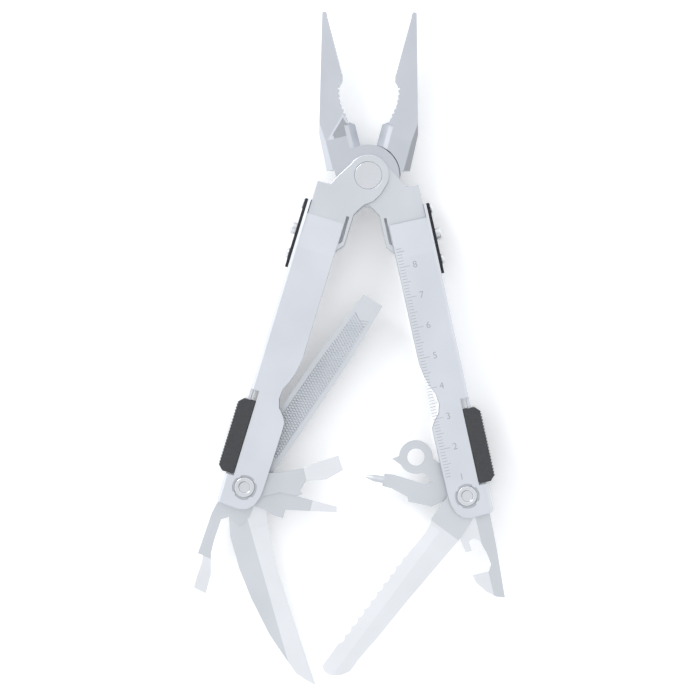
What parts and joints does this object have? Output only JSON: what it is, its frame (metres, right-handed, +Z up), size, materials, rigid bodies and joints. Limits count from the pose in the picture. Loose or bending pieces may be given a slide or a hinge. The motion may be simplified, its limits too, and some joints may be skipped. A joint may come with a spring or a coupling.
{
  "type": "multi tool",
  "caption": "Folding pocket multi tool with retracting needle-nose pliers, blades, file, drivers, can opener and lanyard ring, shown open with the tools fanned out.",
  "frame": {"origin": "centre of the bounding box seen from above, on the plane that the tool lies on", "axes": "+X to the right handle's side, +Y towards the jaw tips, +Z up from the surface it lies on, out of the face with the tool nuts"},
  "size_m": [0.0992, 0.2148, 0.0152],
  "materials": {
    "handle_steel": "bead-blasted satin stainless steel",
    "tang_steel": "satin stainless steel",
    "jaw_steel": "ground stainless steel",
    "blade_steel": "ground stainless steel",
    "tool_steel": "tumbled stainless steel",
    "plate_steel": "satin stainless steel",
    "black_plate": "blackened steel",
    "polished_steel": "polished stainless steel",
    "lock_plastic": "black, matt, ribbed"
  },
  "bodies": {
    "left_handle": {"left_handle": "handle_steel", "left_bolt": "polished_steel", "left_nut": "polished_steel", "left_spacers": "plate_steel", "left_plate": "black_plate", "left_plate_screws": "polished_steel"},
    "left_tang": {"left_tang": "tang_steel", "right_jaw": "jaw_steel", "pivot_pin": "polished_steel"},
    "right_tang": {"right_tang": "tang_steel", "left_jaw": "jaw_steel"},
    "right_handle": {"right_handle": "handle_steel", "right_bolt": "polished_steel", "right_nut": "polished_steel", "right_spacers": "plate_steel", "right_plate": "black_plate", "right_plate_screws": "polished_steel"},
    "file": {"file": "tool_steel"},
    "large_driver": {"large_driver": "tool_steel"},
    "small_driver": {"small_driver": "tool_steel"},
    "medium_driver": {"medium_driver": "tool_steel"},
    "knife_blade": {"knife_blade": "blade_steel"},
    "serrated_blade": {"serrated_blade": "blade_steel"},
    "can_opener": {"can_opener": "tool_steel"},
    "cross_driver": {"cross_driver": "tool_steel"},
    "lanyard_ring": {"lanyard_ring": "tool_steel"},
    "left_lock": {"left_lock": "lock_plastic"},
    "right_lock": {"right_lock": "lock_plastic"},
    "left_button": {"left_button": "polished_steel"},
    "right_button": {"right_button": "polished_steel"}
  },
  "joints": [
    {"name": "left_head_slide", "type": "slide", "parent": "left_handle", "child": "left_tang", "axis": [-0.2907, -0.9568, 0], "range_m": [0, 0.012]},
    {"name": "pliers_hinge", "type": "hinge", "parent": "left_tang", "child": "right_tang", "pos_m": [0.00606, 0.05499, 0.0074], "axis": [0, 0, -1], "range_deg": [0, 10]},
    {"name": "right_head_slide", "type": "slide", "parent": "right_tang", "child": "right_handle", "axis": [-0.2147, 0.9767, 0], "range_m": [0, 0.012]},
    {"name": "file_hinge", "type": "hinge", "parent": "left_handle", "child": "file", "pos_m": [-0.0332, -0.04397, 0.0074], "axis": [0, 0, 1], "range_deg": [-6, 17.8]},
    {"name": "large_driver_hinge", "type": "hinge", "parent": "left_handle", "child": "large_driver", "pos_m": [-0.0332, -0.04397, 0.0074], "axis": [0, 0, -1], "range_deg": [-59.1, 120.9]},
    {"name": "small_driver_hinge", "type": "hinge", "parent": "left_handle", "child": "small_driver", "pos_m": [-0.0332, -0.04397, 0.0074], "axis": [0, 0, -1], "range_deg": [-87.1, 92.9]},
    {"name": "medium_driver_hinge", "type": "hinge", "parent": "left_handle", "child": "medium_driver", "pos_m": [-0.0332, -0.04397, 0.0074], "axis": [0, 0, -1], "range_deg": [-186.4, 0]},
    {"name": "knife_hinge", "type": "hinge", "parent": "left_handle", "child": "knife_blade", "pos_m": [-0.0332, -0.04397, 0.0074], "axis": [0, 0, -1], "range_deg": [-30, 36.5]},
    {"name": "serrated_hinge", "type": "hinge", "parent": "right_handle", "child": "serrated_blade", "pos_m": [0.03744, -0.04675, 0.0074], "axis": [0, 0, 1], "range_deg": [-20, 49.1]},
    {"name": "can_opener_hinge", "type": "hinge", "parent": "right_handle", "child": "can_opener", "pos_m": [0.03744, -0.04675, 0.0074], "axis": [0, 0, 1], "range_deg": [-185.6, 0]},
    {"name": "cross_driver_hinge", "type": "hinge", "parent": "right_handle", "child": "cross_driver", "pos_m": [0.03744, -0.04675, 0.0074], "axis": [0, 0, 1], "range_deg": [-67, 113]},
    {"name": "ring_hinge", "type": "hinge", "parent": "right_handle", "child": "lanyard_ring", "pos_m": [0.03744, -0.04675, 0.0074], "axis": [0, 0, 1], "range_deg": [-40.5, 139.5]},
    {"name": "left_lock_slide", "type": "slide", "parent": "left_handle", "child": "left_lock", "axis": [0.2907, 0.9568, 0], "range_m": [0, 0.003]},
    {"name": "right_lock_slide", "type": "slide", "parent": "right_handle", "child": "right_lock", "axis": [-0.2147, 0.9767, 0], "range_m": [0, 0.003]},
    {"name": "left_button_press", "type": "slide", "parent": "left_handle", "child": "left_button", "axis": [0.9568, -0.2907, 0], "range_m": [0, 0.0008], "stiffness_N_per_m": 400, "springref_m": -0.001},
    {"name": "right_button_press", "type": "slide", "parent": "right_handle", "child": "right_button", "axis": [-0.9767, -0.2147, 0], "range_m": [0, 0.0008], "stiffness_N_per_m": 400, "springref_m": -0.001}
  ]
}
